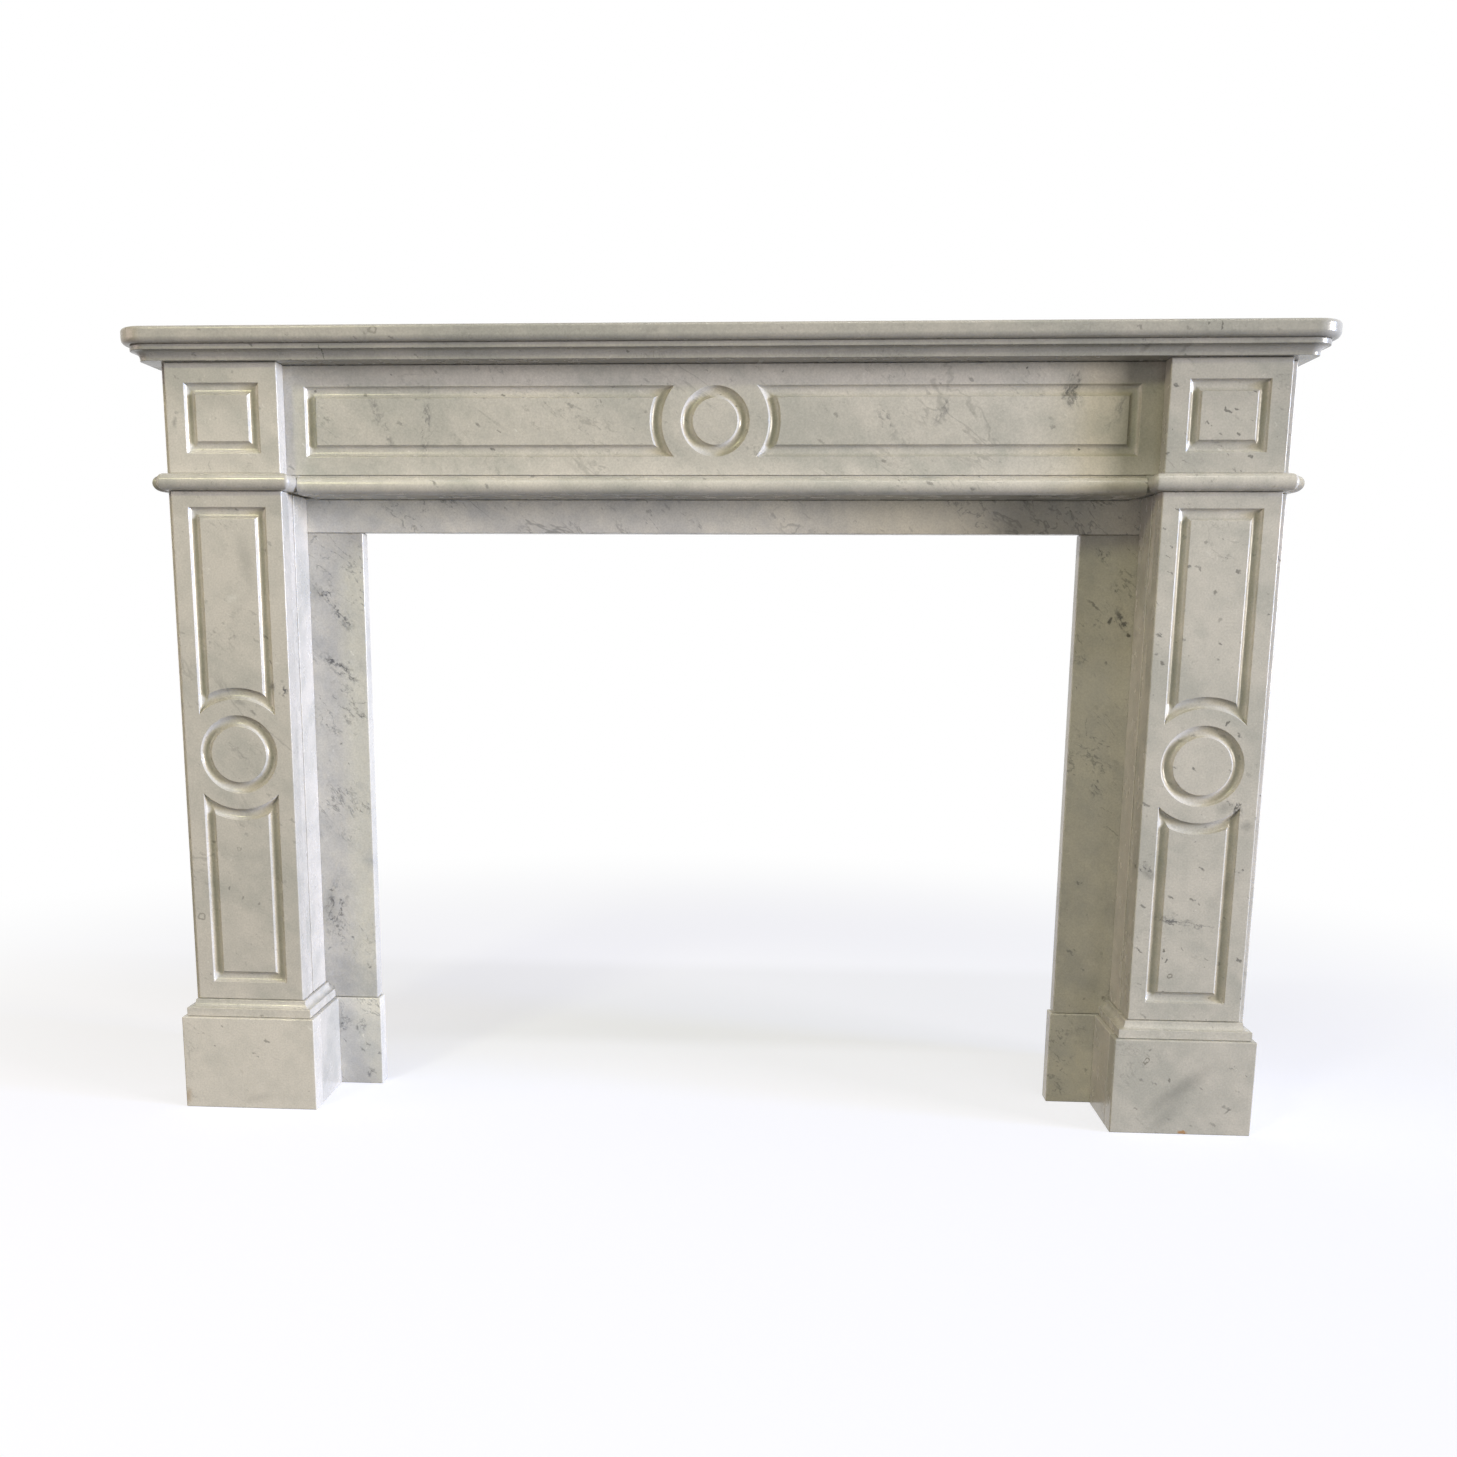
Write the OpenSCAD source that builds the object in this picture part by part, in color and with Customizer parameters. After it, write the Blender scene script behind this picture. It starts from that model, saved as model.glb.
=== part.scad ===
// Marble fireplace mantel: a moulded shelf over a panelled frieze, on two panelled jambs.
// The frame has its origin on the floor, at the middle of the whole, with +Z up and the front at -Y.
// Pieces are drawn with Y = 0 on the jambs' front face and are moved back by to_frame() at the end.

/* [Overall] */
// Width over the front slabs of the two jambs
jamb_span = 1408; // [1250:1:1800]
// Depth from the jambs' front face to the wall
wall_depth = 280; // [200:1:420]
// Height of the plinths
plinth_h = 129; // [90:1:200]
// Height of the jambs' front slabs
jamb_h = 679; // [560:1:900]
// Height of the frieze and the corner blocks
frieze_h = 137; // [115:1:200]

/* [Jambs] */
// Width of a jamb's front slab and of a corner block
jamb_w = 146.5; // [120:0.5:180]
// Thickness of a jamb's front slab and of a corner block
front_t = 27; // [18:0.5:34]
// Thickness of the backing slab behind a jamb's front
backing_t = 20; // [15:0.5:30]
// How far the backing slab stands out past the front slab's outer edge
backing_proud = 14.3; // [8:0.1:20]
// How far the backing slab's inner edge is set back from the inner side
backing_recess = 1; // [0:0.1:3]
// Thickness of the returns on the sides of the jambs and of the frieze
return_t = 20; // [15:0.5:30]

/* [Plinths] */
// How far a plinth stands out past the jamb, in front and on both sides
plinth_proud = 19; // [15:0.5:24]
// Thickness of a plinth's front slab
plinth_front_t = 30; // [20:0.5:34]
// Thickness of a plinth's inner and outer returns
plinth_return_t = 22; // [18:0.5:30]

/* [Base moulding] */
// Height of the base moulding
base_h = 22; // [20:0.5:26]
// How far the base moulding stands out
base_proud = 13; // [12:0.5:14]
// Height of the flat lower edge of the base moulding
base_fillet_h = 12; // [9:0.5:12]
// Radius of the hollow of the base moulding
base_cove_r = 7; // [4:0.5:7]
// Width of the step at the top of the base moulding
base_step = 3.5; // [2:0.5:4]

/* [Band and bead] */
// Thickness of the round-edged band slab on top of each jamb
band_h = 21.6; // [18:0.1:26]
// How far the band stands out past the jamb
band_proud = 14.5; // [12:0.5:18]
// Thickness of the round-edged bead slab under the frieze
bead_h = 21.7; // [18:0.1:26]
// How far the bead's nose stands out past the frieze
bead_proud = 11; // [9:0.5:18]
// Height of the narrow recess between the bead and the frieze
quirk_h = 2.5; // [1.5:0.1:4]
// How far that recess is cut back behind the frieze's face
quirk_depth = 2; // [1:0.5:5]

/* [Frieze] */
// Thickness of the frieze slab
frieze_t = 20; // [15:0.5:30]

/* [Slips] */
// Visible width of each slip beside the opening
slip_w = 76; // [50:0.5:110]
// Thickness of the slips and the header slip
slip_t = 23; // [18:0.5:30]
// Depth from the jambs' front face to the slips' face
slip_depth = 103; // [70:1:160]
// Visible height of the header slip over the opening
header_h = 44; // [30:0.5:80]
// How far a slip foot stands out past its slip
foot_proud = 3; // [1:0.5:6]
// How far a slip foot reaches into the opening past its slip
foot_reach = 4; // [1:0.5:8]

/* [Carved panels] */
// Width of the carved groove
groove_w = 14.5; // [12:0.5:15]
// Depth of the carved groove
groove_d = 5.5; // [3:0.1:6]
// Margin at the sides of a jamb's panels
jamb_margin = 22.2; // [18:0.1:26]
// Margin above a jamb's upper panel
jamb_margin_top = 20.5; // [15:0.5:30]
// Margin below a jamb's lower panel
jamb_margin_bottom = 24.5; // [15:0.5:30]
// How far the ring on a jamb sits below the middle of the jamb
jamb_ring_drop = 1.5; // [0:0.5:20]
// Radius of the round ring on a jamb, to its outer edge
jamb_ring_r = 52; // [40:0.5:54]
// Radius of the arcs that end a jamb's panels
jamb_arc_r = 73.8; // [68:0.1:80]
// Margin at the sides of a corner block's panel
block_margin_x = 24.8; // [18:0.1:30]
// Margin above and below a corner block's panel
block_margin_z = 25.3; // [18:0.1:30]
// Distance from a corner block to the frieze's panel
frieze_margin_x = 26.5; // [18:0.5:40]
// Margin above the frieze's panels
frieze_margin_top = 26.5; // [18:0.5:30]
// Margin below the frieze's panels
frieze_margin_bottom = 23.5; // [18:0.5:30]
// Radius of the round ring on the frieze, to its outer edge
frieze_ring_r = 43.5; // [30:0.5:45]
// Radius of the arcs that end the frieze's panels
frieze_arc_r = 68.5; // [66:0.5:78]

/* [Shelf] */
// Thickness of the shelf's top slab
shelf_t = 20; // [16:0.5:26]
// How far the top slab stands out past the corner blocks in front
shelf_proud = 32; // [26:0.5:40]
// How far the top slab stands out past the backing slabs at the ends
shelf_end_proud = 38.2; // [34:0.1:46]
// Radius of the top slab's corners, seen from above
shelf_corner_r = 37; // [30:0.5:44]
// Radius of the top slab's upper edge
shelf_top_r = 4.5; // [3:0.5:7]
// Radius of the top slab's lower edge
shelf_bottom_r = 7.5; // [4:0.5:8.5]
// How far the bed moulding's flat edge is set back from the top slab's edge
bed_setback = 10; // [8:0.5:12]
// Height of the bed moulding's flat upper edge
bed_fillet_h = 7; // [5:0.5:9]
// Radius of the bed moulding's hollow
bed_cove_r = 10; // [7:0.5:10]
// Width of the level step between the hollow and the flat edge
bed_step = 2; // [1:0.5:3]
// Height of the bed moulding's small lower edge
bed_lip_h = 1.7; // [1:0.1:3]

/* [Hidden] */
$fn = 64;
SIDE_NODES = [
    "corner_block", "frieze_return", "capping_band", "jamb_front", "jamb_backing",
    "jamb_inner_return", "jamb_outer_return", "base_moulding", "plinth_front",
    "plinth_inner_return", "plinth_outer_return", "slip", "slip_foot"
];

marble = [0.80, 0.79, 0.76];
marble_grey = [0.70, 0.70, 0.69];

// Widths, measured from the middle of the mantel
outer_x = jamb_span / 2;
inner_x = outer_x - jamb_w;
backing_x = outer_x + backing_proud;
return_x = backing_x - return_t;
inner_return_x = inner_x + return_t;
band_inner_x = inner_x - band_proud;
plinth_inner_x = inner_x - plinth_proud;
plinth_outer_x = outer_x + plinth_proud;
opening_x = inner_x - slip_w;
slip_back_x = inner_return_x;

// Depths, from the jambs' front face
frieze_y = front_t;
backing_y = front_t + backing_t;
foot_y = slip_depth - foot_proud;
plinth_back_y = plinth_front_t - plinth_proud;
slip_back_y = slip_depth + slip_t;
band_step_y = frieze_y - band_proud;

// Heights, from the floor
jamb_z = plinth_h + base_h;
band_z = jamb_z + jamb_h;
frieze_z = band_z + band_h;
bed_z = frieze_z + frieze_h;
bead_z = frieze_z - quirk_h - bead_h;
header_z = bead_z - header_h;
bed_h = bed_lip_h + bed_cove_r + bed_fillet_h;
shelf_z = bed_z + bed_h;

// Middle of a jamb, and the centres of the rings
jamb_mid_x = (inner_x + outer_x) / 2;
jamb_ring_z = (jamb_z + band_z) / 2 - jamb_ring_drop;
frieze_panel_half = (frieze_h - frieze_margin_top - frieze_margin_bottom) / 2;
frieze_ring_z = frieze_z + frieze_margin_bottom + frieze_panel_half;

// Shelf outline
shelf_x = backing_x + shelf_end_proud;
corner_x = shelf_x - shelf_corner_r;
corner_y = shelf_corner_r - shelf_proud;
overall_depth = wall_depth + shelf_proud;

// Carved groove: a cylinder whose axis stands above the face
cove_r = (groove_w * groove_w / 4 + groove_d * groove_d) / (2 * groove_d);
cove_rise = cove_r - groove_d;
// How far the cuts run past a groove's edges at its mitres, as a share of the mitre's length
mitre_spare = 0.2;
// How far a straight groove and an arc run on into each other where they meet
arc_lap = 0.2;
// How far a cut runs past the face that it opens
cut = 1;

module to_frame() {
    translate([0, shelf_proud - overall_depth / 2, 0]) children();
}

// A box from its lowest and its highest corner
module box(low, high) {
    translate(low) cube(high - low);
}

// Carved panels, drawn on the XY plane with the carved face at Z = 0 and +Z out of the stone

// Keeps the part of a groove that lies over an outline
module over(outline) {
    intersection() {
        children();
        translate([0, 0, -cove_r]) linear_extrude(3 * cove_r) polygon(outline);
    }
}

// Groove along the straight line from one point to another, and on past both
module straight_groove(from, to) {
    run = to - from;
    translate([from.x, from.y, cove_rise]) rotate([0, 0, atan2(run.y, run.x)]) rotate([0, 90, 0])
        translate([0, 0, -groove_w]) cylinder(h = norm(run) + 2 * groove_w, r = cove_r);
}

// Groove round a full circle about [0, 0], given by its outer radius
module ring_groove(outer_r) {
    translate([0, 0, cove_rise]) rotate_extrude()
        translate([outer_r - groove_w / 2, 0]) circle(r = cove_r);
}

// The line that runs through two points, carried on past both of them
function past(from, to) = [from + mitre_spare * (from - to), to + mitre_spare * (to - from)];

// Groove round a rectangle, inside the corners low and high, mitred at each corner
module rectangle_groove(low, high) {
    w = groove_w;
    outer = [low, [high.x, low.y], high, [low.x, high.y]];
    inner = [low + [w, w], [high.x - w, low.y + w], high - [w, w], [low.x + w, high.y - w]];
    for (i = [0:3]) {
        j = (i + 1) % 4;
        over(concat(past(outer[i], inner[i]), past(inner[j], outer[j])))
            straight_groove((outer[i] + inner[i]) / 2, (outer[j] + inner[j]) / 2);
    }
}

// Groove round a panel of the given half width that runs up from Y = flat_y and ends at a hollow
// arc about [0, 0]. arc_r is the arc's radius at the groove's outer edge.
module arched_groove(half_w, flat_y, arc_r) {
    w = groove_w;
    field_r = arc_r + w;
    side_x = half_w - w / 2;
    tip = [half_w, -sqrt(arc_r * arc_r - half_w * half_w)];
    bend = [half_w - w, -sqrt(field_r * field_r - (half_w - w) * (half_w - w))];
    foot = [half_w, flat_y];
    heel = [half_w - w, flat_y + w];
    for (side = [0, 1]) mirror([side, 0]) {
        over(concat(past(foot, heel), past(bend + [0, arc_lap], tip + [0, arc_lap])))
            straight_groove([side_x, flat_y], [side_x, 0]);
    }
    over(concat(past(foot, heel), past([-heel.x, heel.y], [-foot.x, foot.y])))
        straight_groove([-half_w, flat_y + w / 2], [half_w, flat_y + w / 2]);
    ends = past(tip + [arc_lap, 0], bend + [arc_lap, 0]);
    over([[0, 0], ends[0], ends[1], [ends[1].x, -field_r - cut],
          [-ends[1].x, -field_r - cut], [-ends[1].x, ends[1].y], [-ends[0].x, ends[0].y]])
        ring_groove(field_r);
}

// Stands a carved slab up: drawn X and Y become X and Z, and the carved face looks to the front
module stand_up(y) {
    translate([0, y, 0]) rotate([90, 0, 0]) children();
}

// A plain slab behind the XY plane, from its low to its high corner
module slab(low, high, thickness) {
    translate([low.x, low.y, -thickness]) cube([high.x - low.x, high.y - low.y, thickness]);
}

// Edge profiles, drawn with X out of the stone and Y up

// A slab's edge with a half-round nose at X = reach
module nose_profile(reach, height) {
    square([reach - height / 2, height]);
    translate([reach - height / 2, height / 2]) circle(r = height / 2);
}

// What a quarter-round of radius r takes off a corner at [0, 0]
module corner_cut(r) {
    difference() {
        translate([-cut, -cut]) square(r + cut);
        translate([r, r]) circle(r = r);
    }
}

// The shelf's top slab, its edge at X = reach
module shelf_profile(reach) {
    difference() {
        square([reach, shelf_t]);
        translate([reach, 0]) mirror([1, 0]) corner_cut(shelf_bottom_r);
        translate([reach, shelf_t]) rotate(180) corner_cut(shelf_top_r);
    }
}

// The bed moulding, its flat upper edge at X = reach
module bed_profile(reach) {
    hollow_x = reach - bed_step;
    difference() {
        union() {
            square([hollow_x, bed_h]);
            translate([0, bed_lip_h + bed_cove_r]) square([reach, bed_fillet_h]);
        }
        translate([hollow_x, bed_lip_h]) circle(r = bed_cove_r);
        translate([hollow_x - bed_cove_r, -cut]) square([bed_cove_r + cut, bed_lip_h + cut]);
    }
}

// The base moulding, its flat lower edge at X = reach
module base_profile(reach) {
    face_x = reach - base_proud + base_step;
    difference() {
        union() {
            square([reach, base_fillet_h]);
            square([face_x + base_cove_r, base_fillet_h + base_cove_r]);
            square([face_x, base_h]);
        }
        translate([face_x + base_cove_r, base_fillet_h + base_cove_r]) circle(r = base_cove_r);
    }
}

// Runs a profile along X, with its outer side to the front
module front_run(x_low, x_high) {
    translate([x_high, 0, 0]) rotate([90, 0, -90]) linear_extrude(x_high - x_low) children();
}

// Runs a profile along Y, with its outer side to +X
module side_run(y_low, y_high) {
    translate([0, y_high, 0]) rotate([90, 0, 0]) linear_extrude(y_high - y_low) children();
}

// The profile and its mirror image, back to back
module both_ways() {
    for (flip = [0, 1]) mirror([flip, 0]) children();
}

// A shelf course: one profile along the front and both ends, turned round the corners.
// setback is how far its outer edge stands back from the top slab's edge.
module shelf_course(z, setback, is_top) {
    front_reach = wall_depth + shelf_proud - setback;
    end_reach = shelf_x - setback;
    turn_r = shelf_corner_r - setback;
    translate([0, 0, z]) {
        translate([0, wall_depth, 0]) front_run(-corner_x, corner_x)
            course_profile(is_top, front_reach);
        side_run(corner_y, wall_depth) both_ways() course_profile(is_top, end_reach);
        for (side = [-1, 1]) translate([side * corner_x, corner_y, 0])
            rotate_extrude() course_profile(is_top, turn_r);
    }
}

module course_profile(is_top, reach) {
    if (is_top) shelf_profile(reach);
    else bed_profile(reach);
}

module shelf_slab() {
    color(marble) to_frame() shelf_course(shelf_z, 0, true);
}

module shelf_bed_moulding() {
    color(marble) to_frame() shelf_course(bed_z, bed_setback, false);
}

module frieze_slab() {
    color(marble) to_frame() stand_up(frieze_y) difference() {
        slab([-backing_x, frieze_z], [backing_x, bed_z], frieze_t);
        translate([0, frieze_ring_z, 0]) {
            ring_groove(frieze_ring_r);
            for (turn = [-90, 90]) rotate(turn)
                arched_groove(frieze_panel_half, frieze_margin_x - inner_x, frieze_arc_r);
        }
    }
}

module frieze_bead() {
    nose_y = frieze_y - bead_proud;
    color(marble) to_frame() {
        translate([0, slip_back_y, bead_z]) front_run(-band_inner_x, band_inner_x)
            nose_profile(slip_back_y - nose_y, bead_h);
        box([-band_inner_x, frieze_y + quirk_depth, bead_z + bead_h / 2],
            [band_inner_x, slip_back_y, frieze_z]);
    }
}

module header_slip() {
    color(marble_grey) to_frame()
        box([-slip_back_x, slip_depth, header_z], [slip_back_x, slip_back_y, bead_z]);
}

// Side pieces, drawn on the right of the mantel

module corner_block() {
    margin = [block_margin_x, block_margin_z];
    low = [inner_x, frieze_z];
    high = [outer_x, bed_z];
    color(marble) stand_up(0) difference() {
        slab(low, high, front_t);
        rectangle_groove(low + margin, high - margin);
    }
}

module frieze_return() {
    color(marble) box([return_x, frieze_y + frieze_t, frieze_z], [backing_x, wall_depth, bed_z]);
}

module capping_band() {
    front_reach = frieze_y + band_proud;
    color(marble) {
        // Over the front slab: nosed on three sides
        intersection() {
            translate([0, frieze_y, band_z]) front_run(band_inner_x, outer_x + band_proud)
                nose_profile(front_reach, band_h);
            translate([jamb_mid_x, 0, band_z]) side_run(-band_proud, frieze_y)
                both_ways() nose_profile(jamb_w / 2 + band_proud, band_h);
        }
        // Over the backing and the outer return: nosed in front and outside
        intersection() {
            translate([0, wall_depth, band_z]) front_run(jamb_mid_x, backing_x + band_proud)
                nose_profile(wall_depth - band_step_y, band_h);
            translate([jamb_mid_x, 0, band_z]) side_run(band_step_y, wall_depth)
                nose_profile(backing_x + band_proud - jamb_mid_x, band_h);
        }
        box([band_inner_x, frieze_y, band_z], [jamb_mid_x, wall_depth, frieze_z]);
    }
}

module jamb_front() {
    half_w = jamb_w / 2 - jamb_margin;
    low_end = jamb_z + jamb_margin_bottom - jamb_ring_z;
    high_end = band_z - jamb_margin_top - jamb_ring_z;
    color(marble) stand_up(0) difference() {
        slab([inner_x, jamb_z], [outer_x, band_z], front_t);
        translate([jamb_mid_x, jamb_ring_z, 0]) {
            ring_groove(jamb_ring_r);
            arched_groove(half_w, low_end, jamb_arc_r);
            rotate(180) arched_groove(half_w, -high_end, jamb_arc_r);
        }
    }
}

module jamb_backing() {
    edge_x = inner_x + backing_recess;
    color(marble) {
        box([edge_x, frieze_y, jamb_z], [backing_x, backing_y, band_z]);
        box([inner_return_x, frieze_y, plinth_h], [backing_x, backing_y, jamb_z + cut]);
    }
}

module jamb_inner_return() {
    color(marble) box([inner_x, backing_y, jamb_z], [inner_return_x, slip_depth, band_z]);
}

module jamb_outer_return() {
    color(marble) box([return_x, backing_y, plinth_h], [backing_x, wall_depth, band_z]);
}

module base_moulding() {
    color(marble) difference() {
        intersection() {
            translate([0, slip_depth, plinth_h])
                front_run(inner_x - base_proud, outer_x + base_proud)
                    base_profile(slip_depth + base_proud);
            translate([jamb_mid_x, 0, plinth_h]) side_run(-base_proud, slip_depth)
                both_ways() base_profile(jamb_w / 2 + base_proud);
        }
        box([inner_return_x, frieze_y, plinth_h - cut],
            [outer_x + base_proud + cut, slip_depth + cut, jamb_z + cut]);
    }
}

module plinth_front() {
    color(marble) box([plinth_inner_x, -plinth_proud, 0],
                      [plinth_outer_x, plinth_back_y, plinth_h]);
}

module plinth_inner_return() {
    color(marble) box([plinth_inner_x, plinth_back_y, 0],
                      [plinth_inner_x + plinth_return_t, foot_y, plinth_h]);
}

module plinth_outer_return() {
    color(marble) box([plinth_outer_x - plinth_return_t, plinth_back_y, 0],
                      [plinth_outer_x, wall_depth, plinth_h]);
}

module slip() {
    color(marble_grey) box([opening_x, slip_depth, plinth_h], [slip_back_x, slip_back_y, header_z]);
}

module slip_foot() {
    color(marble_grey) box([opening_x - foot_reach, foot_y, 0], [slip_back_x, slip_back_y, plinth_h]);
}

module side_piece(piece) {
    if (piece == "corner_block") corner_block();
    if (piece == "frieze_return") frieze_return();
    if (piece == "capping_band") capping_band();
    if (piece == "jamb_front") jamb_front();
    if (piece == "jamb_backing") jamb_backing();
    if (piece == "jamb_inner_return") jamb_inner_return();
    if (piece == "jamb_outer_return") jamb_outer_return();
    if (piece == "base_moulding") base_moulding();
    if (piece == "plinth_front") plinth_front();
    if (piece == "plinth_inner_return") plinth_inner_return();
    if (piece == "plinth_outer_return") plinth_outer_return();
    if (piece == "slip") slip();
    if (piece == "slip_foot") slip_foot();
}

// Each side piece stands on the right, and mirrored on the left
module on_side(side, piece) {
    to_frame() mirror([side == "left_" ? 1 : 0, 0, 0]) side_piece(piece);
}

shelf_slab();
shelf_bed_moulding();
frieze_slab();
frieze_bead();
header_slip();
for (side = ["left_", "right_"]) for (piece = SIDE_NODES) {
    on_side(side, piece);
}
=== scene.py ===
"""Looks of the marble fireplace mantel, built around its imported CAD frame."""
import math

import bmesh
import bpy
from mathutils import Matrix, Vector, noise
from mathutils.geometry import tessellate_polygon


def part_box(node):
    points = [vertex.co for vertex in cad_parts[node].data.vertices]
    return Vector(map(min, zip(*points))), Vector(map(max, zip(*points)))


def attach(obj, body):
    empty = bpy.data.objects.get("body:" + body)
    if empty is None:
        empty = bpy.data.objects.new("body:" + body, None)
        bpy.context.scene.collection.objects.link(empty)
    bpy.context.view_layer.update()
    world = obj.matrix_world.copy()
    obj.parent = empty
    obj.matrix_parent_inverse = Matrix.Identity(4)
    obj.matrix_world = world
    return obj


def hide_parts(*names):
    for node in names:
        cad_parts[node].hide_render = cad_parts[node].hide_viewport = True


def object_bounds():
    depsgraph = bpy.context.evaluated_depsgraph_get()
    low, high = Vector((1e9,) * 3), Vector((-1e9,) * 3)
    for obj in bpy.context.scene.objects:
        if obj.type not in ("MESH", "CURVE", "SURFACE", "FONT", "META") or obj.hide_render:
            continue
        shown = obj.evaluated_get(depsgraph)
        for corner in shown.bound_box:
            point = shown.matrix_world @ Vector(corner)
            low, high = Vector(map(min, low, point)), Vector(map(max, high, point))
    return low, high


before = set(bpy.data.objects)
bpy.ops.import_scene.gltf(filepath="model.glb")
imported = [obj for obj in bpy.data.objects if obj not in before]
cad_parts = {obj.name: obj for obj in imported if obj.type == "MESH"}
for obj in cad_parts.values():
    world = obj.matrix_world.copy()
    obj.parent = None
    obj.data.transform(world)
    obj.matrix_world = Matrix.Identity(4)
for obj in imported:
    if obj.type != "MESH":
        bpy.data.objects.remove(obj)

cad_low, cad_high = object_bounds()

MM = 0.001
BACK_Y = cad_high.y
SHELF_TOP = cad_high.z

# Sizes of the carving and of the mouldings, in metres, as the CAD model has them
GROOVE_W, GROOVE_D = 14.5 * MM, 5.5 * MM
JAMB_MARGIN, JAMB_MARGIN_TOP, JAMB_MARGIN_BOTTOM = 22.2 * MM, 20.5 * MM, 24.5 * MM
JAMB_RING_DROP, JAMB_RING_R, JAMB_ARC_R = 1.5 * MM, 52 * MM, 73.8 * MM
BLOCK_MARGIN_X, BLOCK_MARGIN_Z = 24.8 * MM, 25.3 * MM
FRIEZE_MARGIN_X, FRIEZE_MARGIN_TOP, FRIEZE_MARGIN_BOTTOM = 26.5 * MM, 26.5 * MM, 23.5 * MM
FRIEZE_RING_R, FRIEZE_ARC_R = 43.5 * MM, 68.5 * MM
SHELF_CORNER_R, BED_SETBACK = 37 * MM, 10 * MM
QUIRK_H, QUIRK_BACK = 2.5 * MM, 13 * MM
BASE_FACE, BASE_COVE_R, BASE_FILLET_H = 9.5 * MM, 7 * MM, 12 * MM

JOINT = 0.2 * MM      # half of the open joint between two slabs
ARRIS = 1.3 * MM       # rounding of a slab's edges
GROOVE_ARRIS = 0.9 * MM
STEP = 5 * MM          # distance between points along an edge
HAIR = 0.01 * MM       # keeps two corners of an outline apart where its edge profile changes
SOFT_ARRIS = 1.6 * MM  # rounding of the plinths, slips, feet and backings
THIN_ARRIS = 1.0 * MM  # rounding of the plain returns
BAND_CORNER_R = 6 * MM
LEAST_R = 0.4 * MM      # the smallest radius a rounded corner shrinks to
SHARP_ANGLE = math.radians(38)
CHIP_DEPTH, WEAR_DEPTH = 5.0 * MM, 0.04 * MM
RING_POINTS, ARCH_POINTS = 96, 28

# Edge of the shelf slab, and of the slab under it
SHELF_UNDER_R, SHELF_UPPER_R = 7.5 * MM, 4.5 * MM
EDGE_LAND = 1.5 * MM    # flat strip between an edge's rounding and the slab's face
BED_LIP, BED_COVE_R, BED_STEP = 1.7 * MM, 10 * MM, 2 * MM

# How fine each pattern of the stone is: its noise scale, in coordinates of a metre
CLOUD_SCALE, MOTTLE_SCALE, GRAIN_SCALE, GLOSS_SCALE = 11.0, 38.0, 420.0, 30.0
LONG_VEIN_SCALE, LONG_VEIN_PATCHES = 7.0, 6.0
SHORT_VEIN_SCALE, SHORT_VEIN_PATCHES, SHORT_VEIN_BREAKS = 40.0, 13.0, 140.0
SPECK_SCALE, FINE_SPECK_SCALE, LIGHT_SPECK_SCALE = 78.0, 125.0, 130.0
MARK_VEIN_SCALE, MARK_FINE_SCALE, MARK_BREAK_SCALE = 60.0, 130.0, 120.0
STIR_SCALE, STIR_REACH = 160.0, 0.008
MARK_DEPTH = 10.0      # in metres, so that a mark goes right through its slab
GRAIN_RELIEF, GRAIN_DEPTH = 0.05, 0.001
SPECK_SHARE = 0.35     # share of the speck pattern's cells that hold a speck on most slabs


# ---------------------------------------------------------------- outlines and profiles

def spread(a, b, count):
    """count points from a towards b, without b."""
    return [a + (b - a) * (i / count) for i in range(count)]


def soften(points, radii, segments=4):
    """The polyline with its inner corners rounded to the given radii."""
    out = [points[0]]
    for before, here, after, r in zip(points, points[1:], points[2:], radii):
        u, v = (before - here), (after - here)
        turn = math.pi - u.angle(v)
        if r <= 0 or turn < 0.02:
            out.append(here)
            continue
        reach = min(r * math.tan(turn / 2), 0.49 * min(u.length, v.length))
        r = reach / math.tan(turn / 2)
        start, end = here + u.normalized() * reach, here + v.normalized() * reach
        middle = here + (u.normalized() + v.normalized()).normalized() * (r / math.cos(turn / 2))
        a, b = start - middle, end - middle
        for i in range(segments + 1):
            w = i / segments
            d = (a * math.sin((1 - w) * turn) + b * math.sin(w * turn)) / math.sin(turn)
            out.append(middle + d)
    out.append(points[-1])
    return out


def plan(corners, factors, inset, radius=0.0, rounded=(), arc_points=14, step=STEP):
    """A loop of points round a plan outline, counter-clockwise, moved in by inset times each
    edge's factor. Corners listed in rounded are arcs whose radius shrinks with the inset."""
    n = len(corners)
    sides = []
    for i in range(n):
        a, b = corners[i], corners[(i + 1) % n]
        d = (b - a).normalized()
        inward = Vector((-d.y, d.x))
        sides.append((a + inward * factors[i] * inset, d))
    tips = []
    for i in range(n):
        (p, d), (q, e) = sides[i - 1], sides[i]
        w = q - p
        s = (w.x * e.y - w.y * e.x) / (d.x * e.y - d.y * e.x)
        tips.append(p + d * s)
    bends = []
    for i in range(n):
        d_in, d_out = sides[i - 1][1], sides[i][1]
        r = max(radius - inset, LEAST_R) if i in rounded else 0.0
        bends.append((tips[i] - d_in * r, tips[i] + d_out * r, r))
    loop = []
    for i in range(n):
        entry, leave, r = bends[i]
        if r > 0:
            d_in = sides[i - 1][1]
            inward = Vector((-d_in.y, d_in.x))
            centre = entry + inward * r
            for k in range(arc_points):
                a = math.pi / 2 * k / arc_points
                loop.append(centre - inward * r * math.cos(a) + d_in * r * math.sin(a))
        count = max(1, round((corners[(i + 1) % n] - corners[i]).length / step))
        loop += spread(leave, bends[(i + 1) % n][0], count)
    return loop


def across(sign, low_x, high_x):
    """The inner and the outer X of a piece on the right (sign 1) or the left (sign -1)."""
    return (low_x, high_x) if sign > 0 else (high_x, low_x)


def turned(sign, outline, factors, rounded):
    """An outline drawn for the right side, put in order for either side."""
    if sign > 0:
        return outline, factors, rounded
    last = len(outline) - 1
    return outline[::-1], factors[-2::-1] + factors[-1:], [last - i for i in rounded]


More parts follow.
